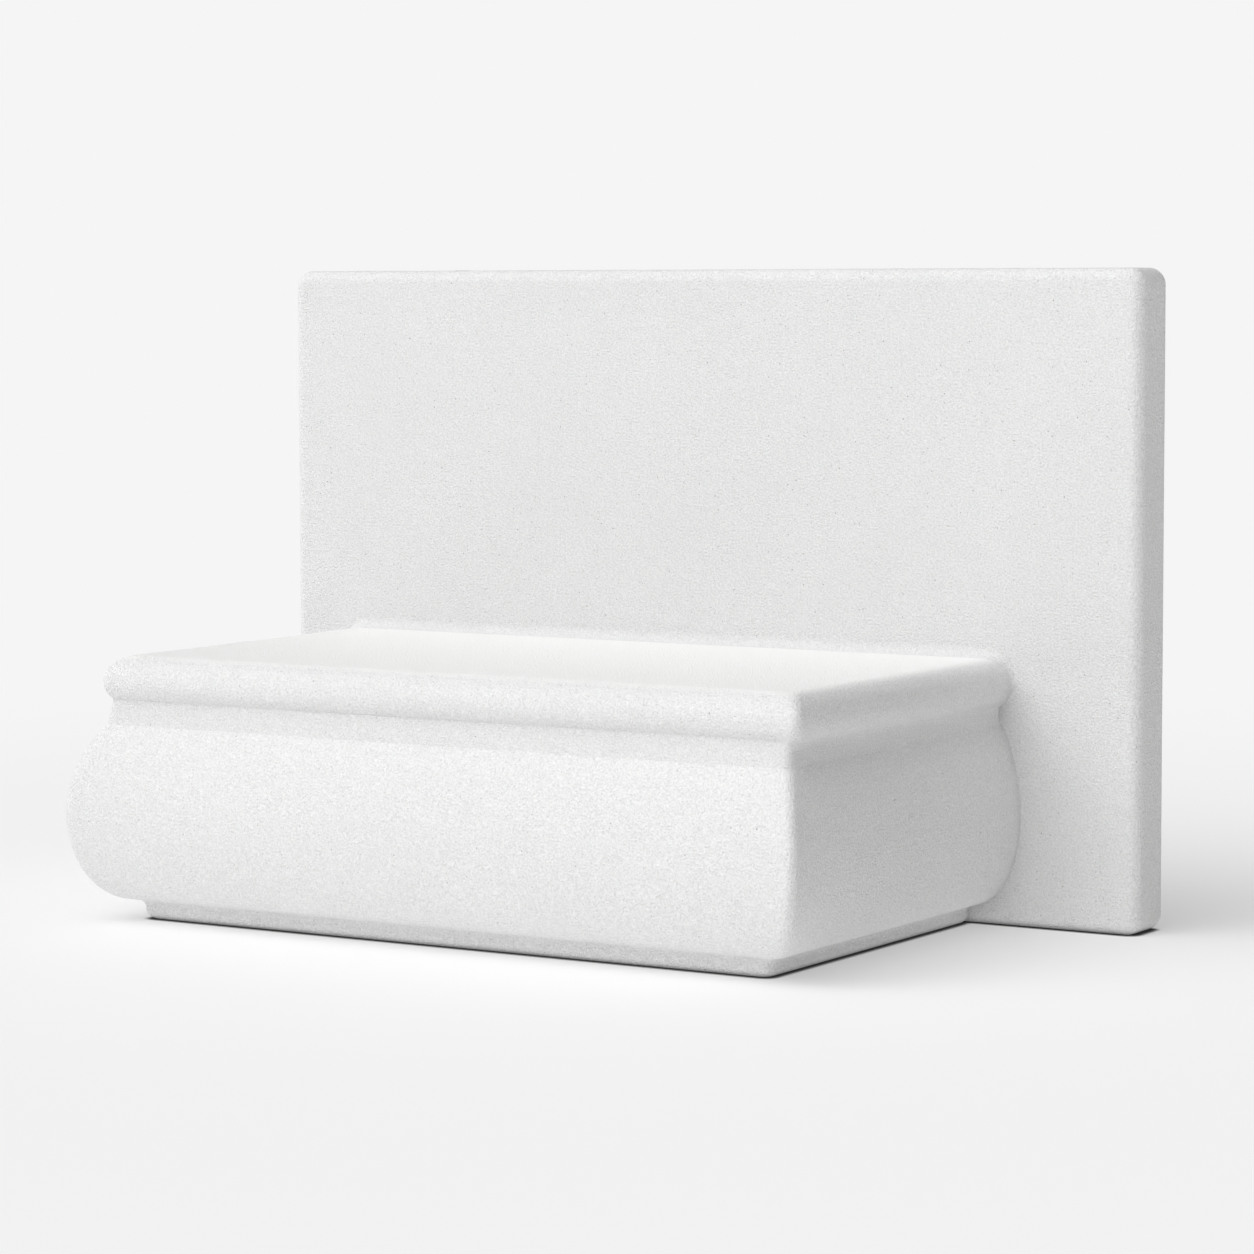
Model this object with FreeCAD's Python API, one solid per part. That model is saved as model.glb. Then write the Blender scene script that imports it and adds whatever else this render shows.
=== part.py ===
import FreeCAD, Part
import math
import os

# Precast concrete bench barrier, free-standing on paving.
# A moulded belly block carries a bullnose seat slab, and a plain back slab
# stands behind both.  +X runs along the bench, -Y is the side people sit on,
# +Z is up.  The origin is on the ground, in the middle of the footprint.

Vector = FreeCAD.Vector
X_AXIS = Vector(1, 0, 0)
Y_AXIS = Vector(0, 1, 0)
Z_AXIS = Vector(0, 0, 1)

# overall sizes
height = 1000.0
back_length = 1550.0
back_thick = 100.0
seat_height = 410.0
block_depth = 600.0
left_margin = 165.0
right_margin = 295.0

# moulding of the block, as offsets outward from its base rectangle
belly_out = 100.0
belly_level = 168.0
neck_out = 51.0
neck_out_right = 64.0
plinth_out = 14.0
plinth_roll = 20.0
plinth_height = 23.0
quirk_radius = 7.0
neck_band = 6.0
neck_cove_radius = 10.0
mitre_radius = 14.0

# seat slab and mortar joints
seat_thick = 80.0
seat_nose_out = 58.0
seat_right_extra = 26.0
bed_thick = 8.0
bed_inset = 2.0
back_joint_thick = 10.0
cove_leg = 20.0
cove_radius = 26.0

# back slab
back_corner_radius = 26.0
back_arris = 20.0

# reinforcement
link_dia = 8.0
long_bar_dia = 12.0
mesh_dia = 8.0
bar_gap = 0.3
block_cover = 40.0
link_bend = 24.0
link_count = 6
seat_cover_below = 22.0
seat_long_count = 6
seat_front_cover = 40.0
seat_back_cover = 60.0
seat_end_cover = 45.0
slab_end_cover = 35.0
mesh_depth = 45.0
spacer_width = 30.0

# fixings
dowel_dia = 16.0
dowel_in_block = 100.0
dowel_in_seat = 45.0
pocket_dia = 30.0
pocket_depth = 50.0
bolt_dia = 16.0
bolt_head_across = 24.0
bolt_head_height = 10.0
bolt_engagement = 40.0
washer_dia = 50.0
washer_thick = 6.0
recess_dia = 60.0
recess_depth = 30.0
sleeve_outer = 25.0
sleeve_bore = 21.0
socket_outer = 24.0
socket_bore_depth = 60.0
socket_length = 90.0
socket_pin_dia = 10.0
socket_pin_length = 110.0
lift_outer = 22.0
lift_bore = 16.0
lift_bore_depth = 45.0
lift_length = 110.0
lift_pin_length = 80.0
ground_outer = 30.0
ground_bore = 20.0
ground_bore_depth = 60.0
ground_length = 100.0
pin_setback = 13.0

# levels and faces that follow from the sizes above
footprint = back_thick + block_depth + belly_out
back_rear = footprint / 2
back_front = back_rear - back_thick
base_front = back_front - block_depth
block_rear = back_front - back_joint_thick
base_left = -back_length / 2 + left_margin
base_right = back_length / 2 - right_margin
seat_under = seat_height - seat_thick
block_top = seat_under - bed_thick
seat_left = base_left - seat_nose_out
seat_right = base_right + seat_nose_out + seat_right_extra
seat_front = base_front - seat_nose_out


def box(x0, x1, y0, y1, z0, z1):
    return Part.makeBox(x1 - x0, y1 - y0, z1 - z0, Vector(x0, y0, z0))


def rod(dia, length, start, direction):
    return Part.makeCylinder(dia / 2, length, Vector(*start), direction)


def save(name, shape):
    os.makedirs("parts", exist_ok=True)
    shape.exportStep(os.path.join("parts", name + ".step"))


# The right end leans in less above its widest level, because the seat slab
# runs out further there.
def right_out(out, z):
    if z <= belly_level:
        return out
    return belly_out - (belly_out - out) * (belly_out - neck_out_right) / (belly_out - neck_out)


# Block moulding.  Each horizontal section is the base rectangle grown by the
# moulding offset, square at the back and rounded at the two front mitres.
def plan_wire(out, z, rear):
    x0 = base_left - out
    x1 = base_right + right_out(out, z)
    return rounded_wire(x0, x1, base_front - out, rear, z)


def rounded_wire(x0, x1, y0, rear, z):
    r = mitre_radius
    k = r * (1 - math.sqrt(0.5))
    corners = [
        Part.LineSegment(Vector(x0, rear, z), Vector(x0, y0 + r, z)),
        Part.Arc(Vector(x0, y0 + r, z), Vector(x0 + k, y0 + k, z), Vector(x0 + r, y0, z)),
        Part.LineSegment(Vector(x0 + r, y0, z), Vector(x1 - r, y0, z)),
        Part.Arc(Vector(x1 - r, y0, z), Vector(x1 - k, y0 + k, z), Vector(x1, y0 + r, z)),
        Part.LineSegment(Vector(x1, y0 + r, z), Vector(x1, rear, z)),
        Part.LineSegment(Vector(x1, rear, z), Vector(x0, rear, z)),
    ]
    return Part.Wire([c.toShape() for c in corners])


def loft(stations, rear):
    return Part.makeLoft([plan_wire(p, z, rear) for p, z in stations], True, False)


# plinth roll, from the ground out to the plinth's upright face
roll = []
for i in range(7):
    a = math.pi / 2 * i / 6
    roll.append((plinth_out - plinth_roll * (1 - math.sin(a)), plinth_roll * (1 - math.cos(a))))

# hollow quirk above the plinth, turning from upright to level
quirk = []
for i in range(5):
    a = math.pi / 2 * i / 4
    quirk.append((plinth_out + quirk_radius * (1 - math.cos(a)),
                  plinth_height + quirk_radius * math.sin(a)))

# lower belly: a quarter ellipse from the quirk out to the widest level
quirk_out, quirk_top = quirk[-1]
belly = []
for i in range(9):
    a = math.pi / 2 * i / 8
    belly.append((quirk_out + (belly_out - quirk_out) * math.sin(a),
                  belly_level - (belly_level - quirk_top) * math.cos(a)))

# upper belly: one arc back in to the small cove under the neck band
neck_level = block_top - neck_band
lean = 2 * math.atan((belly_out - neck_out) / (neck_level - belly_level))
high_radius = (neck_level - belly_level) / math.sin(lean) - neck_cove_radius
for i in range(1, 7):
    a = lean * i / 6
    belly.append((belly_out - high_radius * (1 - math.cos(a)),
                  belly_level + high_radius * math.sin(a)))

neck = []
for i in range(4):
    a = lean * (1 - i / 3)
    neck.append((neck_out + neck_cove_radius * (1 - math.cos(a)),
                 neck_level - neck_cove_radius * math.sin(a)))
belly[-1] = neck[0]


def prism(out, z0, z1, rear):
    return Part.Face(plan_wire(out, z0, rear)).extrude(Vector(0, 0, z1 - z0))


def moulding(rear):
    face = prism(plinth_out, plinth_roll, plinth_height, rear)
    band = prism(neck_out, neck_level, block_top, rear)
    return loft(roll, rear).fuse([face, loft(quirk, rear), loft(belly, rear), loft(neck, rear), band])


moulded = moulding(back_front)
rear_slice = box(-back_length, back_length, block_rear, back_front, -1, height)
front_zone = box(-back_length, back_length, -footprint, block_rear, -1, height)


# Seat slab: a full bullnose on the front and both ends, mitred like the block;
# the rear edge stays square.
nose_radius = seat_thick / 2
nose_level = seat_under + nose_radius


def seat_wire(inset, z):
    x0 = seat_left + inset
    x1 = seat_right - inset
    y0 = seat_front + inset
    return rounded_wire(x0, x1, y0, back_front, z)


nose = []
for i in range(13):
    a = math.pi * (i / 12 - 0.5)
    nose.append((nose_radius * (1 - math.cos(a)), nose_level + nose_radius * math.sin(a)))
seat_full = Part.makeLoft([seat_wire(p, z) for p, z in nose], True, False)

# mortar bed under the seat slab, pointed up against the bullnose
bed_full = prism(neck_out - bed_inset, block_top, nose_level, back_front).cut(seat_full)

block = moulded.common(front_zone)
seat = seat_full.common(front_zone)
bed = bed_full.common(front_zone)
back_joint = moulded.common(rear_slice).fuse(
    [seat_full.common(rear_slice), bed_full.common(rear_slice)]).removeSplitter()


# Back slab: plain rectangular slab with rounded corners and eased edges.
def back_blank():
    half = back_length / 2
    slab = box(-half, half, back_front, back_rear, 0, height)
    corners = [e for e in slab.Edges if e.BoundBox.YLength > 1]
    slab = slab.makeFillet(back_corner_radius, corners)
    rim = [e for e in slab.Edges if e.BoundBox.YLength < 1e-6]
    return slab.makeFillet(back_arris, rim)


back = back_blank()

# Block cage: closed links at even spacing, six long bars inside them.
cage_low = block_cover + link_dia / 2
cage_high = block_top - block_cover - link_dia / 2
cage_front = base_front + block_cover + link_dia / 2
cage_rear = block_rear - block_cover - link_dia / 2
link_pitch = (base_right - base_left - 2 * block_cover) / (link_count - 1)
link_xs = [base_left + block_cover + link_pitch * i for i in range(link_count)]


def closed_link(x):
    y0, y1, z0, z1, b = cage_front, cage_rear, cage_low, cage_high, link_bend
    k = b * (1 - math.sqrt(0.5))
    path = Part.Wire([
        Part.LineSegment(Vector(x, y0 + b, z0), Vector(x, y1 - b, z0)).toShape(),
        Part.Arc(Vector(x, y1 - b, z0), Vector(x, y1 - k, z0 + k), Vector(x, y1, z0 + b)).toShape(),
        Part.LineSegment(Vector(x, y1, z0 + b), Vector(x, y1, z1 - b)).toShape(),
        Part.Arc(Vector(x, y1, z1 - b), Vector(x, y1 - k, z1 - k), Vector(x, y1 - b, z1)).toShape(),
        Part.LineSegment(Vector(x, y1 - b, z1), Vector(x, y0 + b, z1)).toShape(),
        Part.Arc(Vector(x, y0 + b, z1), Vector(x, y0 + k, z1 - k), Vector(x, y0, z1 - b)).toShape(),
        Part.LineSegment(Vector(x, y0, z1 - b), Vector(x, y0, z0 + b)).toShape(),
        Part.Arc(Vector(x, y0, z0 + b), Vector(x, y0 + k, z0 + k), Vector(x, y0 + b, z0)).toShape(),
    ])
    ring = Part.Wire([Part.makeCircle(link_dia / 2, Vector(x, (y0 + y1) / 2, z0), Y_AXIS)])
    path = Part.Wire(Part.__sortEdges__(path.Edges))
    return path.makePipeShell([ring], True, False)


links = [closed_link(x) for x in link_xs]

bar_step = (link_dia + long_bar_dia) / 2 + bar_gap
bar_side = link_bend
cage_mid = (cage_front + cage_rear) / 2
long_bar_start = base_left + block_cover - link_dia
long_bar_length = base_right - block_cover + link_dia - long_bar_start
long_bars = []
for y in (cage_front + bar_side, cage_mid, cage_rear - bar_side):
    for z in (cage_low + bar_step, cage_high - bar_step):
        long_bars.append(rod(long_bar_dia, long_bar_length, (long_bar_start, y, z), X_AXIS))

# cement spacers that held the cage off the mould
block_spacers = []
for x in (link_xs[0], link_xs[2], link_xs[3], link_xs[5]):
    for y in (cage_front + 3 * link_bend, cage_rear - 3 * link_bend):
        block_spacers.append(box(x - spacer_width / 2, x + spacer_width / 2,
                                 y - spacer_width / 2, y + spacer_width / 2,
                                 0, block_cover - bar_gap))

# Seat mesh: cross bars a quarter pitch either side of every link line, long
# bars lying on them.
cross_z = seat_under + seat_cover_below + mesh_dia / 2
cross_y0 = seat_front + seat_front_cover
cross_y1 = block_rear - seat_cover_below
cross_xs = []
for x in link_xs:
    cross_xs += [x - link_pitch / 4, x + link_pitch / 4]
seat_cross = [rod(mesh_dia, cross_y1 - cross_y0, (x, cross_y0, cross_z), Y_AXIS)
              for x in cross_xs]

seat_long_y0 = seat_front + seat_front_cover + mesh_dia
seat_long_pitch = (block_rear - seat_back_cover - seat_long_y0) / (seat_long_count - 1)
seat_long_ys = [seat_long_y0 + seat_long_pitch * i for i in range(seat_long_count)]
seat_long_z = cross_z + mesh_dia + bar_gap
seat_long_x0 = seat_left + seat_end_cover
seat_long_length = seat_right - seat_end_cover - seat_long_x0
seat_long = [rod(mesh_dia, seat_long_length, (seat_long_x0, y, seat_long_z), X_AXIS)
             for y in seat_long_ys]

seat_spacers = []
for x in (cross_xs[1], cross_xs[-2]):
    for y in (seat_long_ys[1], seat_long_ys[3], seat_long_ys[5]):
        seat_spacers.append(box(x - spacer_width / 2, x + spacer_width / 2,
                                y - spacer_width / 2, y + spacer_width / 2,
                                seat_under, seat_under + seat_cover_below - bar_gap))

# Dowels and bolts stand in the end bays of the cage, halfway between links.
end_bays = [link_xs[0] + link_pitch / 2, link_xs[-1] - link_pitch / 2]
dowel_ys = [seat_long_ys[1] + seat_long_pitch / 2, seat_long_ys[4] + seat_long_pitch / 2]
dowels = []
pockets = []
for x in end_bays:
    for y in dowel_ys:
        dowels.append(rod(dowel_dia, dowel_in_block + bed_thick + dowel_in_seat,
                          (x, y, block_top - dowel_in_block), Z_AXIS))
        pockets.append(rod(pocket_dia, pocket_depth, (x, y, seat_under), Z_AXIS))
dowel_grout = [p.cut(dowels) for p in pockets]

# Tie bolts: from the rear of the back slab, through a sleeve, into sockets
# cast in the block.
bolt_levels = [block_top / 3, block_top * 0.72]
seat_of_washer = back_rear - recess_depth
bolts = []
washers = []
sleeves = []
sockets = []
socket_pins = []
recesses = []
sleeve_holes = []
socket_holes = []
for x in end_bays:
    for z in bolt_levels:
        tip = block_rear - bolt_engagement
        head_seat = seat_of_washer + washer_thick
        hexagon = []
        for i in range(7):
            a = math.pi / 3 * i
            reach = bolt_head_across / math.sqrt(3)
            hexagon.append(Vector(x + reach * math.cos(a), head_seat, z + reach * math.sin(a)))
        head = Part.Face(Part.makePolygon(hexagon)).extrude(Vector(0, bolt_head_height, 0))
        shank = rod(bolt_dia, head_seat - tip, (x, tip, z), Y_AXIS)
        bolts.append(shank.fuse(head))
        washers.append(rod(washer_dia, washer_thick, (x, seat_of_washer, z), Y_AXIS).cut(shank))
        tube = rod(sleeve_outer, seat_of_washer - block_rear, (x, block_rear, z), Y_AXIS)
        bore = rod(sleeve_bore, seat_of_washer - block_rear, (x, block_rear, z), Y_AXIS)
        sleeves.append(tube.cut(bore))
        sleeve_holes.append(tube)
        barrel = rod(socket_outer, socket_length, (x, block_rear - socket_length, z), Y_AXIS)
        thread = rod(bolt_dia, socket_bore_depth, (x, block_rear - socket_bore_depth, z), Y_AXIS)
        pin = rod(socket_pin_dia, socket_pin_length,
                  (x - socket_pin_length / 2, block_rear - socket_length + pin_setback, z), X_AXIS)
        sockets.append(barrel.cut([thread, pin]))
        socket_pins.append(pin)
        socket_holes += [barrel, pin]
        recesses.append(rod(recess_dia, recess_depth, (x, seat_of_washer, z), Y_AXIS))
plugs = [r.cut(bolts + washers) for r in recesses]

# Lifting sockets in the top edge of the back slab, above the bolts.
lift_y = (back_front + back_rear) / 2
lift_sockets = []
lift_pins = []
lift_holes = []
for x in end_bays:
    barrel = rod(lift_outer, lift_length, (x, lift_y, height - lift_length), Z_AXIS)
    thread = rod(lift_bore, lift_bore_depth, (x, lift_y, height - lift_bore_depth), Z_AXIS)
    pin = rod(socket_pin_dia, lift_pin_length,
              (x - lift_pin_length / 2, lift_y, height - lift_length + pin_setback), X_AXIS)
    lift_sockets.append(barrel.cut([thread, pin]))
    lift_pins.append(pin)
    lift_holes += [barrel, pin]

# Ground-fixing sockets in the underside of the block.
ground_sockets = []
ground_pins = []
ground_holes = []
quarter = (cage_rear - cage_front) / 4
for x in end_bays:
    for y in (cage_mid - quarter, cage_mid + quarter):
        barrel = rod(ground_outer, ground_length, (x, y, 0), Z_AXIS)
        thread = rod(ground_bore, ground_bore_depth, (x, y, 0), Z_AXIS)
        pin = rod(socket_pin_dia, socket_pin_length,
                  (x, y - socket_pin_length / 2, ground_length - pin_setback), Y_AXIS)
        ground_sockets.append(barrel.cut([thread, pin]))
        ground_pins.append(pin)
        ground_holes += [barrel, pin]

# Back slab mesh: uprights half a grid step off the bolts, horizontals behind
# them at the bolt pitch, stopping below the lifting sockets.
grid = link_pitch / 2
upright_y = back_front + mesh_depth
uprights = []
x = end_bays[0] + grid / 2
while x - grid > -back_length / 2 + slab_end_cover:
    x -= grid
while x < back_length / 2 - slab_end_cover:
    uprights.append(rod(mesh_dia, height - 2 * block_cover, (x, upright_y, block_cover), Z_AXIS))
    x += grid

level_pitch = bolt_levels[1] - bolt_levels[0]
level_y = upright_y + mesh_dia + bar_gap
levels = []
z = bolt_levels[0] - level_pitch / 2
while z < height - lift_length - mesh_dia:
    levels.append(rod(mesh_dia, back_length - 2 * slab_end_cover,
                      (-back_length / 2 + slab_end_cover, level_y, z), X_AXIS))
    z += level_pitch

# Cast pieces give way to everything embedded in them.
block = block.cut(links + long_bars + block_spacers + dowels + socket_holes + ground_holes)
seat = seat.cut(seat_cross + seat_long + seat_spacers + pockets)
bed = bed.cut(dowels)
back_joint = back_joint.cut(sleeve_holes)
back = back.cut(uprights + levels + sleeve_holes + recesses + lift_holes)

# Mortar cove along the angle between seat and back slab, carried down over
# the upper half of the bullnose at both ends.
def cove():
    c = cove_leg
    r = nose_radius
    k = r * (1 - math.sqrt(0.5))
    y = back_front
    x0 = seat_left
    x1 = seat_right
    z = nose_level
    top = seat_height
    path = Part.Wire([
        Part.Arc(Vector(x0, y, z), Vector(x0 + k, y, top - k), Vector(x0 + r, y, top)).toShape(),
        Part.makeLine(Vector(x0 + r, y, top), Vector(x1 - r, y, top)),
        Part.Arc(Vector(x1 - r, y, top), Vector(x1 - k, y, top - k), Vector(x1, y, z)).toShape(),
    ])
    m = c / 2 - (cove_radius - math.sqrt(cove_radius ** 2 - c * c / 2)) / math.sqrt(2)
    bow = Part.Arc(Vector(x0 - c, y, z), Vector(x0 - m, y - m, z), Vector(x0, y - c, z))
    section = Part.Wire([
        bow.toShape(),
        Part.makeLine(Vector(x0, y - c, z), Vector(x0, y, z)),
        Part.makeLine(Vector(x0, y, z), Vector(x0 - c, y, z)),
    ])
    return path.makePipeShell([section], True, False)


save("belly_block", block)
save("seat_slab", seat)
save("back_slab", back)
save("bed_joint", bed)
save("back_joint", back_joint)
save("cove_fillet", cove())
save("block_long_bars", Part.makeCompound(long_bars))
save("block_links", Part.makeCompound(links))
save("block_spacers", Part.makeCompound(block_spacers))
save("seat_long_bars", Part.makeCompound(seat_long))
save("seat_cross_bars", Part.makeCompound(seat_cross))
save("seat_spacers", Part.makeCompound(seat_spacers))
save("slab_uprights", Part.makeCompound(uprights))
save("slab_levels", Part.makeCompound(levels))
save("seat_dowels", Part.makeCompound(dowels))
save("dowel_grout", Part.makeCompound(dowel_grout))
save("tie_sockets", Part.makeCompound(sockets))
save("tie_socket_pins", Part.makeCompound(socket_pins))
save("tie_bolts", Part.makeCompound(bolts))
save("tie_washers", Part.makeCompound(washers))
save("tie_sleeves", Part.makeCompound(sleeves))
save("recess_plugs", Part.makeCompound(plugs))
save("lifting_sockets", Part.makeCompound(lift_sockets))
save("lifting_pins", Part.makeCompound(lift_pins))
save("ground_sockets", Part.makeCompound(ground_sockets))
save("ground_pins", Part.makeCompound(ground_pins))
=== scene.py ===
import math

import bmesh
import bpy
from mathutils import Matrix, Vector, noise


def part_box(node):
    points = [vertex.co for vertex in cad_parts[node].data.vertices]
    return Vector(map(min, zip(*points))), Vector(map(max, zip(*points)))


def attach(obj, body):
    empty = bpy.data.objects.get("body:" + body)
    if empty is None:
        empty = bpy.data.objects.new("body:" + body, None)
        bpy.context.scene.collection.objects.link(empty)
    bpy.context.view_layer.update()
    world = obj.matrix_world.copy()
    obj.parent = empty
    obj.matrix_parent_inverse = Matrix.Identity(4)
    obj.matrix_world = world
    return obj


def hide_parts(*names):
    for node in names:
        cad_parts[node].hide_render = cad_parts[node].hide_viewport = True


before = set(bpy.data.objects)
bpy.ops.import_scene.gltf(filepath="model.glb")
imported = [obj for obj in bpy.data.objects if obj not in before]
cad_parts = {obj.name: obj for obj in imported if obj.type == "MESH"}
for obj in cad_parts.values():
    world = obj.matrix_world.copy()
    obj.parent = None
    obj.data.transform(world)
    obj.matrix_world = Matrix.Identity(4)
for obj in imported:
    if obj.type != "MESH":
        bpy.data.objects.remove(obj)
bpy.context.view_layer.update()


# --- Belly block -----------------------------------------------------------
# The solid lower block, cast upside down in a polished mould from white
# cement and fine quartz sand.  Its moulding runs round the front and both
# ends: plinth, quirk, belly, and a narrow neck under the seat.

def cad_node(name):
    low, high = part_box(name)
    return Vector(low), Vector(high)


block_low, block_high = cad_node("belly_block")
# the moulding's levels are above the ground, and it stands out from the base line
plinth_out = 0.014
plinth_roll = 0.016
plinth_height = 0.018
quirk_radius = 0.014
belly_out = 0.100
belly_level = 0.168
neck_out = 0.048
neck_out_right = 0.064
neck_band = 0.006
neck_cove = 0.010
mitre_radius = 0.014
base_left = block_low.x + belly_out
base_right = block_high.x - belly_out
base_front = block_low.y + belly_out


def arc(count, start, end, point):
    """count + 1 points of an arc, where point(angle) places each."""
    return [point(start + (end - start) * i / count) for i in range(count + 1)]


plinth_foot = arc(10, 0, math.pi / 2, lambda a: (
    plinth_out - plinth_roll * (1 - math.sin(a)), plinth_roll * (1 - math.cos(a))))
quirk = arc(6, 0, math.pi / 2, lambda a: (
    plinth_out + quirk_radius * (1 - math.cos(a)), plinth_height + quirk_radius * math.sin(a)))
quirk_out, quirk_top = quirk[-1]
lower_belly = arc(30, 0, math.pi / 2, lambda a: (
    quirk_out + (belly_out - quirk_out) * math.sin(a),
    belly_level - (belly_level - quirk_top) * math.cos(a)))
neck_level = block_high.z - neck_band
lean = 2 * math.atan((belly_out - neck_out) / (neck_level - belly_level))
high_radius = (neck_level - belly_level) / math.sin(lean) - neck_cove
upper_belly = arc(26, 0, lean, lambda a: (
    belly_out - high_radius * (1 - math.cos(a)), belly_level + high_radius * math.sin(a)))
neck = arc(5, lean, 0, lambda a: (
    neck_out + neck_cove * (1 - math.cos(a)), neck_level - neck_cove * math.sin(a)))
moulding = plinth_foot + quirk + lower_belly[1:] + upper_belly[1:] + neck[1:]
moulding += [(neck_out, block_high.z)]


def right_of(out, level):
    """The right end leans in less above the belly, as the seat hangs over further there."""
    if level <= belly_level:
        return out
    return belly_out - (belly_out - out) * (belly_out - neck_out_right) / (belly_out - neck_out)


# points along each end, round each mitred corner and along the front
SIDE, TURN, FRONT = 64, 10, 120


def plan_ring(x0, x1, y0, y1, radius, z):
    """Points round three sides at one level, from the rear left to the rear right."""
    ring = [(x0, y1 + (y0 + radius - y1) * i / SIDE, z) for i in range(SIDE)]
    ring += arc(TURN, math.pi, 1.5 * math.pi, lambda a: (
        x0 + radius + radius * math.cos(a), y0 + radius + radius * math.sin(a), z))[:-1]
    ring += [(x0 + radius + (x1 - x0 - 2 * radius) * i / FRONT, y0, z) for i in range(FRONT)]
    ring += arc(TURN, 1.5 * math.pi, 2 * math.pi, lambda a: (
        x1 - radius + radius * math.cos(a), y0 + radius + radius * math.sin(a), z))[:-1]
    ring += [(x1, y0 + radius + (y1 - y0 - radius) * i / SIDE, z) for i in range(SIDE + 1)]
    return ring


def patch(points, faces, low, high, left, right):
    """Fills the opening between four runs of points with an even grid."""
    wide, tall = len(low) - 1, len(left) - 1
    co = [Vector(p) for p in points]
    grid = [list(low)]
    for j in range(1, tall):
        v = j / tall
        row = [left[j]]
        for i in range(1, wide):
            u = i / wide
            place = ((1 - v) * co[low[i]] + v * co[high[i]]
                     + (1 - u) * co[left[j]] + u * co[right[j]]
                     - (1 - u) * (1 - v) * co[low[0]] - u * (1 - v) * co[low[-1]]
                     - (1 - u) * v * co[high[0]] - u * v * co[high[-1]])
            row.append(len(points))
            points.append(tuple(place))
        grid.append(row + [right[j]])
    grid.append(list(high))
    for a, b in zip(grid, grid[1:]):
        for i in range(wide):
            faces.append((a[i], a[i + 1], b[i + 1], b[i]))


def stack(rings):
    """A closed body from rings one above another, square at the rear."""
    points = [p for ring in rings for p in ring]
    size = len(rings[0])
    faces = []
    for j in range(len(rings) - 1):
        for i in range(size - 1):
            a = j * size + i
            faces.append((a, a + 1, a + size + 1, a + size))
    half = SIDE + TURN // 2
    span = size - 1 - 2 * half
    rears = []
    for start in (0, (len(rings) - 1) * size):
        loop = list(range(start, start + size))
        a, b = Vector(points[loop[0]]), Vector(points[loop[-1]])
        rear = [loop[0]]
        for i in range(1, span):
            rear.append(len(points))
            points.append(tuple(a.lerp(b, i / span)))
        rear.append(loop[-1])
        rears.append(rear)
        patch(points, faces, loop[half:half + span + 1], rear,
              loop[half::-1], loop[half + span:])
    ends = [[j * size for j in range(len(rings))], [j * size + size - 1 for j in range(len(rings))]]
    patch(points, faces, rears[0], rears[1], ends[0], ends[1])
    return points, faces


ARRIS_ANGLE = math.radians(35)


def cast_body(name, points, faces, dip):
    """Makes the object.  Its faces dip in by up to dip, as a cast surface does
    over a mould that isn't perfectly flat, in waves about 250 mm and 50 mm long.
    Nothing dips where it meets the ground."""
    level_foot = 0.03
    mesh = bpy.data.meshes.new(name)
    bm = bmesh.new()
    made = [bm.verts.new(p) for p in points]
    for f in faces:
        bm.faces.new([made[i] for i in f])
    bmesh.ops.recalc_face_normals(bm, faces=bm.faces)
    bm.normal_update()
    for v in bm.verts:
        long_wave = noise.noise(v.co * 4.0 + Vector((7.3, 1.9, 4.2)))
        short_wave = noise.noise(v.co * 21.0 + Vector((2.7, 8.1, 0.6)))
        depth = dip * (0.5 + 0.4 * long_wave + 0.12 * short_wave)
        v.co -= v.normal * max(0.0, depth) * min(1.0, v.co.z / level_foot)
    bm.to_mesh(mesh)
    bm.free()
    mesh.shade_smooth()
    mesh.set_sharp_from_angle(angle=ARRIS_ANGLE)
    obj = bpy.data.objects.new(name, mesh)
    bpy.context.scene.collection.objects.link(obj)
    return obj


# sides of a pit
ROUND, WIDE_ROUND, SQUARE = 48, 64, 4


def sink(obj, holes):
    """Cuts round or square pits, each (centre of mouth, direction in, radius, depth, sides).
    The cutter stands proud of the mouth, so that it cuts right through the skin."""
    proud = 0.01
    bm = bmesh.new()
    for mouth, inward, radius, depth, sides in holes:
        inward = Vector(inward)
        turn = inward.to_track_quat("Z", "Y").to_matrix().to_4x4()
        if sides == SQUARE:
            turn = turn @ Matrix.Rotation(math.pi / 4, 4, "Z")
        place = Matrix.Translation(Vector(mouth) + inward * (depth - proud) / 2) @ turn
        bmesh.ops.create_cone(bm, cap_ends=True, segments=sides, radius1=radius,
                              radius2=radius, depth=depth + proud, matrix=place)
    mesh = bpy.data.meshes.new("pits")
    bm.to_mesh(mesh)
    bm.free()
    cutter = bpy.data.objects.new("pits", mesh)
    bpy.context.scene.collection.objects.link(cutter)
    cut = obj.modifiers.new("pits", "BOOLEAN")
    cut.object = cutter
    cut.operation = "DIFFERENCE"
    cut.solver = "EXACT"
    graph = bpy.context.evaluated_depsgraph_get()
    whole = bpy.data.meshes.new_from_object(obj.evaluated_get(graph))
    obj.modifiers.clear()
    obj.data = whole
    obj.data.set_sharp_from_angle(angle=ARRIS_ANGLE)
    bpy.data.objects.remove(cutter)


def like_pieces(name, axis):
    """Centre and size of each like piece in a CAD node, from the loose parts of its
    mesh.  Along the axis the centre is moved to the piece's low end."""
    bm = bmesh.new()
    bm.from_mesh(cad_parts[name].data)
    bmesh.ops.remove_doubles(bm, verts=bm.verts, dist=1e-6)
    left = set(bm.verts)
    centres = []
    while left:
        group, edge = set(), [left.pop()]
        while edge:
            v = edge.pop()
            group.add(v)
            for e in v.link_edges:
                w = e.other_vert(v)
                if w in left:
                    left.remove(w)
                    edge.append(w)
        low = Vector([min(v.co[k] for v in group) for k in range(3)])
        high = Vector([max(v.co[k] for v in group) for k in range(3)])
        centre = (low + high) / 2
        centre[axis] = low[axis]
        centres.append((centre, high - low))
    bm.free()
    return sorted(centres, key=lambda piece: tuple(piece[0]))


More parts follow.
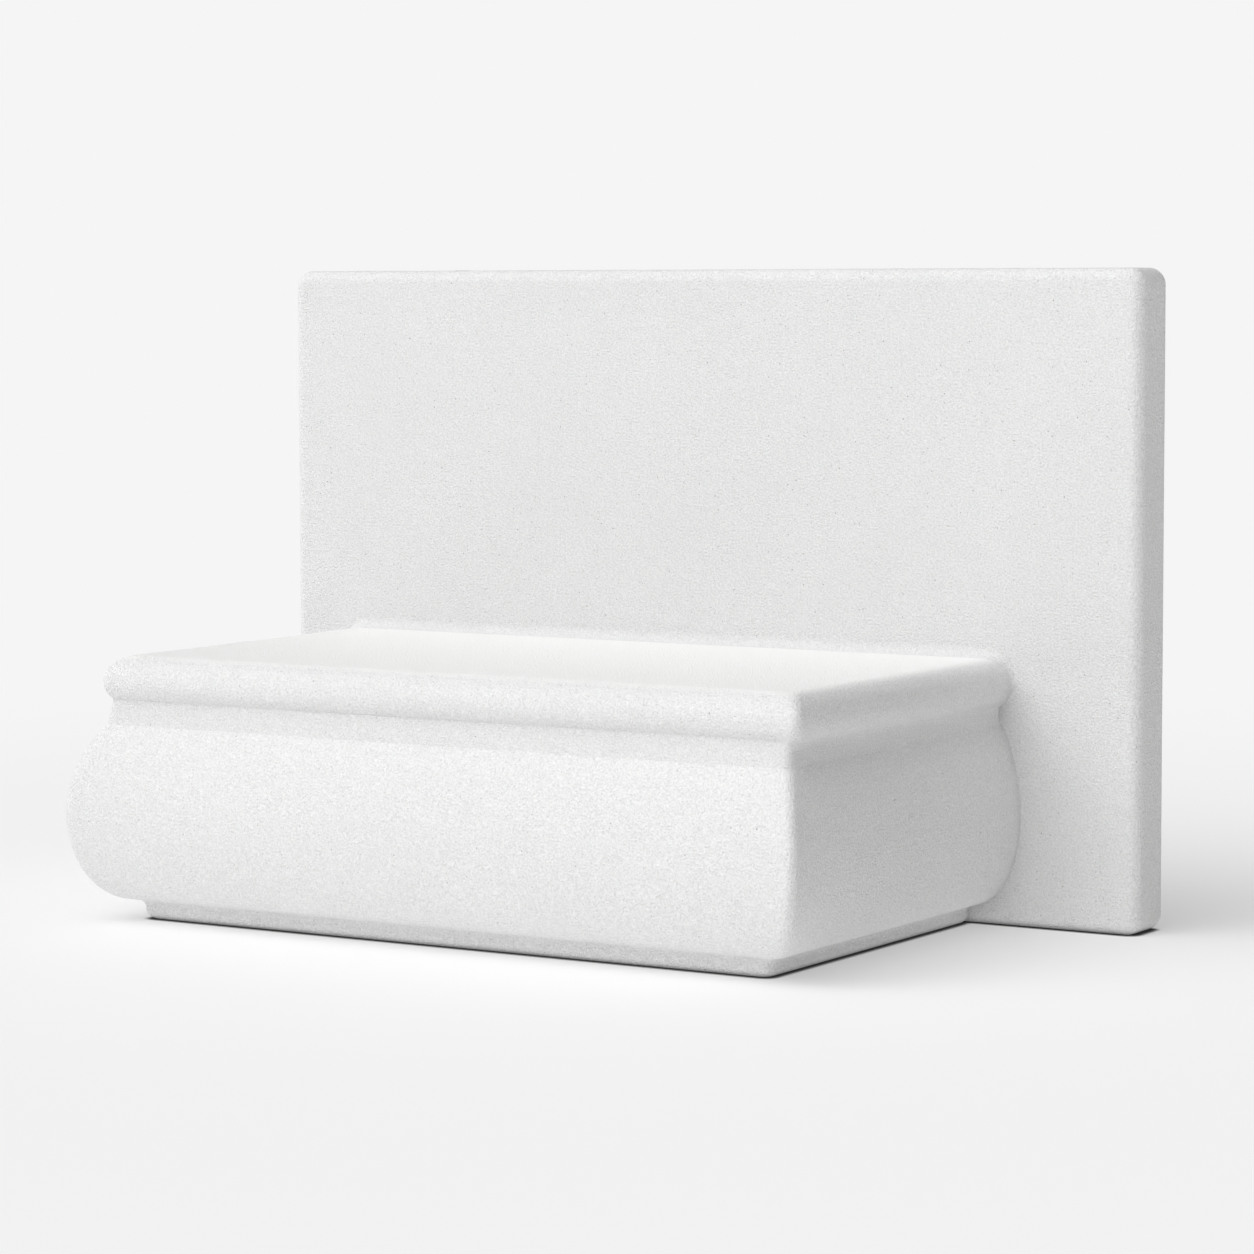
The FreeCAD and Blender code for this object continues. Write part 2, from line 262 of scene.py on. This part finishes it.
rings = [plan_ring(base_left - p, base_right + right_of(p, z), base_front - p,
                   block_high.y, mitre_radius, z) for p, z in moulding]
belly_block = cast_body("cast_belly_block", *stack(rings), dip=0.0005)
pits = []
for centre, size in like_pieces("ground_sockets", 2):
    pits.append(((centre.x, centre.y, 0), (0, 0, 1), size.x / 2, size.z, ROUND))
for centre, size in like_pieces("block_spacers", 2):
    pits.append(((centre.x, centre.y, 0), (0, 0, 1), size.x * math.sqrt(0.5), size.z, SQUARE))
sink(belly_block, pits)
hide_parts("belly_block")
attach(belly_block, "root")


def srgb(code):
    """Linear colour, with alpha, from an sRGB hex code."""
    parts = [int(code[i:i + 2], 16) / 255 for i in (1, 3, 5)]
    return tuple(c / 12.92 if c <= 0.04045 else ((c + 0.055) / 1.055) ** 2.4 for c in parts) + (1.0,)


def add(tree, kind, inputs=(), **settings):
    """Adds a node.  inputs holds (socket, value or the socket that feeds it)."""
    node = tree.nodes.new(kind)
    for key, value in settings.items():
        setattr(node, key, value)
    for key, value in inputs:
        if isinstance(value, bpy.types.NodeSocket):
            tree.links.new(value, node.inputs[key])
        else:
            node.inputs[key].default_value = value
    return node


def new_material(name):
    material = bpy.data.materials.new(name)
    material.use_nodes = True
    tree = material.node_tree
    tree.nodes.clear()
    return material, tree


def concrete(name, paste, sand, pit_shade_colour, grit_mm, grain_depth_mm, speck_share, rough, rubbed_and_top_light=0.0):
    """Cast concrete of white cement and fine quartz sand.  Sand grains just under
    the skin make a fine even grain, and pinholes show as specks, painted darker as
    painted shade in the holes.  Upward faces can be painted paler and smoother, partly a
    rubbed finish and partly painted light on the top face.  The whole is matt with very little sheen."""
    material, tree = new_material(name)
    surface = add(tree, "ShaderNodeTexCoord")
    where = surface.outputs["Object"]
    # real grains are under 1 mm; they are drawn about three times as coarse to show
    grains = add(tree, "ShaderNodeTexNoise", [
        ("Vector", where), ("Scale", 1000 / grit_mm), ("Detail", 1.5), ("Roughness", 0.7)])
    grain_fac = add(tree, "ShaderNodeMapRange", [
        ("Value", grains.outputs["Fac"]), ("From Min", 0.22), ("From Max", 0.70)])
    sanded = add(tree, "ShaderNodeMix", [
        (0, grain_fac.outputs["Result"]), (6, srgb(sand)), (7, srgb(paste))], data_type="RGBA")
    # paste clouds, hardly seen
    cloud_mm = 250
    clouds = add(tree, "ShaderNodeTexNoise", [
        ("Vector", where), ("Scale", 1000 / cloud_mm), ("Detail", 4.0), ("Roughness", 0.6)])
    cloud_fac = add(tree, "ShaderNodeMapRange", [
        ("Value", clouds.outputs["Fac"]), ("From Min", 0.35), ("From Max", 0.65),
        ("To Min", 0.10), ("To Max", 0.0)])
    clouded = add(tree, "ShaderNodeMix", [
        (0, cloud_fac.outputs["Result"]), (6, sanded.outputs[2]), (7, srgb(sand))],
        data_type="RGBA")
    # upward faces are painted paler and smoother: partly the rubbed finish, which brings white paste
    # up between the grains, partly painted light on the top face
    facing = add(tree, "ShaderNodeSeparateXYZ", [("Vector", surface.outputs["Normal"])])
    top_light_mask = add(tree, "ShaderNodeMapRange", [
        ("Value", facing.outputs["Z"]), ("From Min", 0.85), ("From Max", 0.99),
        ("To Min", 0.0), ("To Max", rubbed_and_top_light)])
    rubbed_top_lit = add(tree, "ShaderNodeMix", [
        (0, top_light_mask.outputs["Result"]), (6, clouded.outputs[2]), (7, srgb("#f8f8f7"))],
        data_type="RGBA")
    # specks: one cell in a few holds a pinhole of 1 to 2 mm
    cell_mm = 7
    cells = add(tree, "ShaderNodeTexVoronoi", [
        ("Vector", where), ("Scale", 1000 / cell_mm), ("Randomness", 1.0)])
    pick = add(tree, "ShaderNodeSeparateColor", [("Color", cells.outputs["Color"])])
    chosen = add(tree, "ShaderNodeMath", [
        (0, pick.outputs["Red"]), (1, 1 - speck_share)], operation="GREATER_THAN")
    reach = add(tree, "ShaderNodeMapRange", [
        ("Value", pick.outputs["Green"]), ("To Min", 0.09), ("To Max", 0.17)])
    near = add(tree, "ShaderNodeMath", [
        (0, cells.outputs["Distance"]), (1, reach.outputs["Result"])], operation="DIVIDE")
    bowl = add(tree, "ShaderNodeMapRange", [
        ("Value", near.outputs[0]), ("From Min", 0.5), ("From Max", 1.1),
        ("To Min", 1.0), ("To Max", 0.0)], interpolation_type="SMOOTHSTEP")
    pit = add(tree, "ShaderNodeMath", [
        (0, bowl.outputs["Result"]), (1, chosen.outputs[0])], operation="MULTIPLY")
    # each pinhole is painted darker by a random amount, from not at all to the speck colour: painted
    # shade in the hole
    pit_shade = add(tree, "ShaderNodeMath", [
        (0, pit.outputs[0]), (1, pick.outputs["Blue"])], operation="MULTIPLY")
    colour = add(tree, "ShaderNodeMix", [
        (0, pit_shade.outputs[0]), (6, rubbed_top_lit.outputs[2]), (7, srgb(pit_shade_colour))], data_type="RGBA")
    roughness = add(tree, "ShaderNodeMapRange", [
        ("Value", grain_fac.outputs["Result"]), ("To Min", rough + 0.05), ("To Max", rough - 0.05)])
    grain_bump = add(tree, "ShaderNodeBump", [
        ("Height", grain_fac.outputs["Result"]), ("Strength", 1.0),
        ("Distance", grain_depth_mm / 1000)])
    pit_bump = add(tree, "ShaderNodeBump", [
        ("Height", pit.outputs[0]), ("Strength", 0.8), ("Distance", 0.0006),
        ("Normal", grain_bump.outputs["Normal"])], invert=True)
    shader = add(tree, "ShaderNodeBsdfPrincipled", [
        ("Base Color", colour.outputs[2]), ("Roughness", roughness.outputs["Result"]),
        ("IOR", 1.5), ("Specular IOR Level", 0.25), ("Normal", pit_bump.outputs["Normal"])])
    add(tree, "ShaderNodeOutputMaterial", [("Surface", shader.outputs["BSDF"])])
    return material


white_concrete = concrete("white_cast_concrete", "#f2f2f2", "#d6d6d6", "#8b8987",
                          grit_mm=3.0, grain_depth_mm=1.8, speck_share=0.20, rough=0.9)
belly_block.data.materials.append(white_concrete)


# --- Seat slab -------------------------------------------------------------
# One slab of the same concrete, set on the block over steel dowels.  Its top is rubbed smooth and
# painted paler, as painted light on the top face, and a full bullnose runs round the front and both
# ends.

seat_low, seat_high = cad_node("seat_slab")
nose_radius = (seat_high.z - seat_low.z) / 2
nose_level = (seat_high.z + seat_low.z) / 2


def nose_ring(inset, z):
    """Outline of the seat slab at one level of the bullnose."""
    return plan_ring(seat_low.x + inset, seat_high.x - inset, seat_low.y + inset,
                     seat_high.y, mitre_radius, z)


nose = arc(32, -math.pi / 2, math.pi / 2, lambda a: (
    nose_radius * (1 - math.cos(a)), nose_level + nose_radius * math.sin(a)))
seat_slab = cast_body("cast_seat_slab", *stack([nose_ring(p, z) for p, z in nose]), dip=0.0005)
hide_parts("seat_slab")
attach(seat_slab, "root")
# this slab's upward faces get the paler colour: partly its rubbed top, partly painted light on the top
# face
rubbed_top_lit_concrete = concrete("rubbed_top_lit_white_concrete", "#f2f2f2", "#d6d6d6", "#8b8987",
                           grit_mm=3.0, grain_depth_mm=1.8, speck_share=0.20, rough=0.9,
                           rubbed_and_top_light=0.8)
seat_slab.data.materials.append(rubbed_top_lit_concrete)


# --- Back slab -------------------------------------------------------------
# A plain slab of the same concrete, cast flat, with rounded corners and edges.
# Four recesses in its rear face took the bolts that hold it to the block.

slab_low, slab_high = cad_node("back_slab")
slab_corner = 0.026
slab_arris = 0.020
# points round each corner, up each side and along the top and the underside
BEND, UPRIGHT, LEVEL = 12, 110, 170


def slab_outline(inset, y):
    """Left side, top, right side and underside of the slab as four runs of points,
    each from the middle of one rounded corner to the middle of the next."""
    x0, x1 = slab_low.x + inset, slab_high.x - inset
    z0, z1 = slab_low.z + inset, slab_high.z - inset
    r = slab_corner - inset
    bends = []
    for x, z, start in ((x0 + r, z0 + r, -0.5), (x0 + r, z1 - r, 1), (x1 - r, z1 - r, 0.5),
                        (x1 - r, z0 + r, 0)):
        first = start * math.pi
        bends.append(arc(BEND, first, first - math.pi / 2, lambda a: Vector(
            (x + r * math.cos(a), y, z + r * math.sin(a)))))
    runs = []
    for k, count in enumerate((UPRIGHT, LEVEL, UPRIGHT, LEVEL)):
        last, following = bends[k], bends[(k + 1) % 4]
        run = last[BEND // 2:]
        run += [last[-1].lerp(following[0], i / count) for i in range(1, count)]
        runs.append([tuple(p) for p in run + following[:BEND // 2]])
    return runs


def slab_solid():
    """Closed body of the slab from outlines one behind another."""
    steps = 8
    front = arc(steps, 0, math.pi / 2, lambda a: (
        slab_arris * (1 - math.sin(a)), slab_low.y + slab_arris * (1 - math.cos(a))))
    rear = arc(steps, math.pi / 2, 0, lambda a: (
        slab_arris * (1 - math.sin(a)), slab_high.y - slab_arris * (1 - math.cos(a))))
    flat = slab_high.y - slab_low.y - 2 * slab_arris
    middle = [(0, slab_low.y + slab_arris + flat * i / steps) for i in range(1, steps)]
    stations = front + middle + rear
    points, faces = [], []
    for inset, y in stations:
        runs = slab_outline(inset, y)
        points += [p for run in runs for p in run]
    size = sum(len(run) for run in runs)
    for j in range(len(stations) - 1):
        for i in range(size):
            k = (i + 1) % size
            faces.append((j * size + i, j * size + k, (j + 1) * size + k, (j + 1) * size + i))
    a = len(runs[0])
    b = a + len(runs[1])
    c = b + len(runs[2])
    for start in (0, (len(stations) - 1) * size):
        loop = list(range(start, start + size)) + [start]
        patch(points, faces, loop[c:][::-1], loop[a:b + 1], loop[:a + 1], loop[b:c + 1][::-1])
    return points, faces


back_slab = cast_body("cast_back_slab", *slab_solid(), dip=0.0005)
pits = []
for centre, size in like_pieces("recess_plugs", 1):
    pits.append(((centre.x, slab_high.y, centre.z), (0, -1, 0), size.x / 2, size.y,
                 WIDE_ROUND))
for centre, size in like_pieces("lifting_sockets", 2):
    pits.append(((centre.x, centre.y, slab_high.z), (0, 0, -1), size.x / 2, size.z, ROUND))
sink(back_slab, pits)
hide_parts("back_slab")
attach(back_slab, "root")
back_slab.data.materials.append(white_concrete)


# --- Mortar bed ------------------------------------------------------------
# White mortar between block and seat slab, pointed with a rounded iron so that
# it carries the slope of the block up to a groove close under the bullnose.

bed_rear = cad_node("bed_joint")[1].y
groove_back = 0.0015
groove_back_right = 0.001
groove_rise = 0.014
lap_angle = math.radians(42)


def hollow(start, middle, end, t):
    """A quadratic curve from start to end, pulled towards middle."""
    return (1 - t) ** 2 * start + 2 * t * (1 - t) * middle + t ** 2 * end


foot_out, foot_level = upper_belly[-2]
lap_level = nose_level - nose_radius * math.sin(lap_angle)
lap_back = nose_radius * (1 - math.cos(lap_angle))
bed_rings = []
for t in [i / 14 for i in range(15)]:
    out = hollow(foot_out, neck_out - groove_back, base_left - seat_low.x - lap_back, t)
    out_right = hollow(right_of(foot_out, foot_level), neck_out_right - groove_back_right,
                       seat_high.x - base_right - lap_back, t)
    bed_rings.append(plan_ring(
        base_left - out, base_right + out_right, base_front - out, bed_rear, mitre_radius,
        hollow(foot_level, block_high.z + groove_rise, lap_level, t)))
bed_joint = cast_body("pointed_mortar_bed", *stack(bed_rings), dip=0.0004)
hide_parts("bed_joint")
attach(bed_joint, "root")

white_mortar = concrete("rubbed_white_mortar", "#f1f1f1", "#d5d5d5", "#8b8987",
                        grit_mm=2.6, grain_depth_mm=1.8, speck_share=0.12, rough=0.92)
bed_joint.data.materials.append(white_mortar)


# --- Cove ------------------------------------------------------------------
# A hollow fillet of the same mortar, tooled along the angle between seat and
# back slab.  It thins to a third as it runs down over the bullnose at both ends.

cove_leg = cad_node("cove_fillet")[1].z - seat_high.z
SWEEP = math.radians(100)
BEND_STEPS, FLAT_STEPS = 24, 150


def cove_line():
    """Points along the seat's rear edge, each with the direction out of the seat and
    the share, 0 to 1, of the full leg that the cove has there."""
    left, right = seat_low.x + nose_radius, seat_high.x - nose_radius
    turns = [i / BEND_STEPS for i in range(BEND_STEPS + 1)]
    line = [(left, math.pi / 2 + SWEEP * (1 - t), t) for t in turns]
    line += [(left + (right - left) * i / FLAT_STEPS, math.pi / 2, 1)
             for i in range(1, FLAT_STEPS)]
    line += [(right, math.pi / 2 - SWEEP * t, 1 - t) for t in turns]
    for x, a, t in line:
        out = Vector((math.cos(a), 0, math.sin(a)))
        yield Vector((x, 0, nose_level)) + out * nose_radius, out, t * t * (3 - 2 * t)


def cove_solid():
    """Closed body of the cove: its hollow face, and two hidden faces just inside the
    seat and the back slab."""
    curve = 12
    thinnest = 0.3
    skin = 0.0005
    buried = 0.001
    points, faces = [], []
    for foot, out, share in cove_line():
        leg = cove_leg * (thinnest + (1 - thinnest) * share) - skin
        for i in range(curve + 1):
            a = math.pi / 2 * i / curve
            rise = leg * (1 - math.sin(a))
            set_back = leg * (1 - math.cos(a))
            points.append(tuple(foot + out * rise + Vector((0, slab_low.y - set_back, 0))))
        points.append(tuple(foot - out * buried + Vector((0, slab_low.y - leg, 0))))
        points.append(tuple(foot - out * buried + Vector((0, slab_low.y + buried, 0))))
        points.append(tuple(foot + out * leg + Vector((0, slab_low.y + buried, 0))))
    size = curve + 4
    for j in range(len(points) // size - 1):
        for i in range(size):
            k = (i + 1) % size
            faces.append((j * size + i, j * size + k, (j + 1) * size + k, (j + 1) * size + i))
    faces.append(tuple(range(size)))
    faces.append(tuple(range(len(points) - size, len(points))))
    return points, faces


cove = cast_body("tooled_mortar_cove", *cove_solid(), dip=0.0006)
cove.data.materials.append(white_mortar)
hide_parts("cove_fillet")
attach(cove, "root")


# --- Hidden mortar and plugs -----------------------------------------------
# The same mortar fills the joint behind the block, holds the dowels and caps
# the bolt recesses; the cement spacers held the bars off the mould.

def repaint(material, *names):
    """Gives CAD nodes that are shown as they are the material of the real piece."""
    for name in names:
        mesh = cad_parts[name].data
        mesh.materials.clear()
        mesh.materials.append(material)


repaint(white_mortar, "back_joint", "recess_plugs", "dowel_grout", "block_spacers",
        "seat_spacers")


# --- Steel and plastic inside ----------------------------------------------
# Bars, dowels, bolts and sockets are cast in or grouted in, so little of them
# shows: the mouths of the sockets in the top edge and in the underside.

def metal(name, bright, dull, wear_mm, metallic, rough, depth_mm):
    """Steel, or with no metallic share black plastic, in a patchy finish: bright where
    it was drawn, plated or extruded smooth, dull where scale, bloom or rust has set in."""
    material, tree = new_material(name)
    where = add(tree, "ShaderNodeTexCoord").outputs["Object"]
    patches = add(tree, "ShaderNodeTexNoise", [
        ("Vector", where), ("Scale", 1000 / wear_mm), ("Detail", 4.0), ("Roughness", 0.6)])
    fac = add(tree, "ShaderNodeMapRange", [
        ("Value", patches.outputs["Fac"]), ("From Min", 0.35), ("From Max", 0.65)])
    colour = add(tree, "ShaderNodeMix", [
        (0, fac.outputs["Result"]), (6, srgb(dull)), (7, srgb(bright))], data_type="RGBA")
    roughness = add(tree, "ShaderNodeMapRange", [
        ("Value", fac.outputs["Result"]), ("To Min", rough + 0.15), ("To Max", rough)])
    bump = add(tree, "ShaderNodeBump", [
        ("Height", patches.outputs["Fac"]), ("Strength", 0.6), ("Distance", depth_mm / 1000)])
    shader = add(tree, "ShaderNodeBsdfPrincipled", [
        ("Base Color", colour.outputs[2]), ("Metallic", metallic),
        ("Roughness", roughness.outputs["Result"]), ("Normal", bump.outputs["Normal"])])
    add(tree, "ShaderNodeOutputMaterial", [("Surface", shader.outputs["BSDF"])])
    return material


rolled_bar = metal("hot_rolled_reinforcing_steel", "#5b5149", "#3d2b20", 9, 0.8, 0.55, 0.2)
drawn_stainless = metal("drawn_stainless_steel", "#b9b7b2", "#9c9a96", 4, 1.0, 0.3, 0.02)
zinc_plate = metal("zinc_plated_steel", "#b4b8bb", "#8f9396", 6, 1.0, 0.38, 0.03)
sleeve_plastic = metal("extruded_polyethylene", "#3a3a3b", "#2c2c2d", 5, 0.0, 0.5, 0.05)
repaint(rolled_bar, "block_long_bars", "block_links", "seat_long_bars", "seat_cross_bars",
        "slab_uprights", "slab_levels")
repaint(drawn_stainless, "seat_dowels")
repaint(zinc_plate, "tie_sockets", "tie_socket_pins", "tie_bolts", "tie_washers",
        "lifting_sockets", "lifting_pins", "ground_sockets", "ground_pins")
repaint(sleeve_plastic, "tie_sleeves")


# --- Floor and light -------------------------------------------------------
# A plain pale floor in front of a backdrop of the same tone, under broad soft
# boxes: two keys high on the front left, fills in front and above, and very
# little from behind and from the right.

pale = srgb("#f5f5f5")
mesh = bpy.data.meshes.new("floor")
half_side = 60.0
mesh.from_pydata([(-half_side, -half_side, 0), (half_side, -half_side, 0),
                  (half_side, half_side, 0), (-half_side, half_side, 0)], [], [(0, 1, 2, 3)])
floor = bpy.data.objects.new("floor", mesh)
bpy.context.scene.collection.objects.link(floor)
floor_paint, tree = new_material("matt_white_floor")
# painted shade: the floor's colour darkens to nearly black where ambient occlusion finds the crack of
# contact under the object
contact = add(tree, "ShaderNodeAmbientOcclusion", [("Distance", 0.012)], samples=8)
clear = add(tree, "ShaderNodeMapRange", [
    ("Value", contact.outputs["AO"]), ("From Min", 0.45), ("From Max", 0.95)])
painted_contact_shade = add(tree, "ShaderNodeMix", [
    (0, clear.outputs["Result"]), (6, srgb("#595959")), (7, srgb("#f1f1f1"))],
    data_type="RGBA")
paint = add(tree, "ShaderNodeBsdfDiffuse", [("Color", painted_contact_shade.outputs[2])])
# the floor glows in the backdrop's tone: about a third near the object, painted light that lifts its
# shadows there, and fully away from the object, where it turns into the backdrop without shade
floor_glow = add(tree, "ShaderNodeEmission", [("Color", pale), ("Strength", 1.0)])
spot = add(tree, "ShaderNodeTexCoord").outputs["Object"]
span = add(tree, "ShaderNodeVectorMath", [(0, spot)], operation="LENGTH")
share = add(tree, "ShaderNodeMapRange", [
    ("Value", span.outputs["Value"]), ("From Min", 1.2), ("From Max", 4.0),
    ("To Min", 0.3), ("To Max", 1.0)], interpolation_type="SMOOTHSTEP")
share_clear = add(tree, "ShaderNodeMath", [
    (0, share.outputs["Result"]), (1, clear.outputs["Result"])], operation="MULTIPLY")
blend = add(tree, "ShaderNodeMixShader", [
    (0, share_clear.outputs[0]), (1, paint.outputs[0]), (2, floor_glow.outputs[0])])
# it throws a little more light up than it shows, as a lit white sweep does
eye = add(tree, "ShaderNodeLightPath")
lift = add(tree, "ShaderNodeMapRange", [
    ("Value", eye.outputs["Is Camera Ray"]), ("To Min", 0.18), ("To Max", 0.0)])
bounce = add(tree, "ShaderNodeEmission", [
    ("Color", (1, 1, 1, 1)), ("Strength", lift.outputs["Result"])])
whole = add(tree, "ShaderNodeAddShader", [(0, blend.outputs[0]), (1, bounce.outputs[0])])
add(tree, "ShaderNodeOutputMaterial", [("Surface", whole.outputs[0])])
mesh.materials.append(floor_paint)

world = bpy.data.worlds.new("studio")
world.use_nodes = True
bpy.context.scene.world = world
tree = world.node_tree
tree.nodes.clear()
sight = add(tree, "ShaderNodeTexCoord").outputs["Generated"]
# each soft box: where it stands, how narrow it is and how bright
soft_boxes = (
    ((0, 0, 1), 2, 0.52),
    ((0, 1, 0.8), 2, 0.03),
    ((1, 0, 0.25), 2, 0.05),
    ((-1, -1, 0.8), 4, 0.12),
    ((0, -1, 1.2), 4, 0.80),
    ((-0.2, -1, 0.4), 4, 0.54),
    ((-0.55, -0.6, 0.62), 16, 2.60),
    ((-0.3, -0.35, 0.9), 16, 2.12),
)
so_far = 0.0
for direction, focus, strength in soft_boxes:
    towards = add(tree, "ShaderNodeVectorMath", [
        (0, sight), (1, Vector(direction).normalized())], operation="DOT_PRODUCT")
    ahead = add(tree, "ShaderNodeMath", [
        (0, towards.outputs["Value"]), (1, 0.0)], operation="MAXIMUM")
    falloff = add(tree, "ShaderNodeMath", [(0, ahead.outputs[0]), (1, focus)], operation="POWER")
    so_far = add(tree, "ShaderNodeMath", [
        (0, falloff.outputs[0]), (1, strength), (2, so_far)],
        operation="MULTIPLY_ADD").outputs[0]
lit = add(tree, "ShaderNodeBackground", [("Color", (1, 1, 1, 1)), ("Strength", so_far)])
seen = add(tree, "ShaderNodeBackground", [("Color", pale), ("Strength", 1.0)])
eye = add(tree, "ShaderNodeLightPath")
both = add(tree, "ShaderNodeMixShader", [
    (0, eye.outputs["Is Camera Ray"]), (1, lit.outputs[0]), (2, seen.outputs[0])])
add(tree, "ShaderNodeOutputWorld", [("Surface", both.outputs[0])])

bpy.context.scene.view_settings.view_transform = "Standard"


# --- Camera ----------------------------------------------------------------
# A long lens just below the height of the back slab's top, looking slightly
# down from the front right.

camera = bpy.data.cameras.new("camera")
camera.lens = 121.14
camera.sensor_width = 36
place = Vector((3.4141, -5.4255, 0.9751))
yaw, pitch, roll = math.radians(31.694), math.radians(4.629), math.radians(-0.133)
ahead = Vector((-math.sin(yaw) * math.cos(pitch), math.cos(yaw) * math.cos(pitch),
                -math.sin(pitch)))
across = Vector((math.cos(yaw), math.sin(yaw), 0))
above = across.cross(ahead)
right = math.cos(roll) * across + math.sin(roll) * above
up = math.cos(roll) * above - math.sin(roll) * across
camera_obj = bpy.data.objects.new("camera", camera)
camera_obj.matrix_world = Matrix.Translation(place) @ Matrix((right, up, -ahead)).transposed().to_4x4()
bpy.context.scene.collection.objects.link(camera_obj)
bpy.context.scene.camera = camera_obj
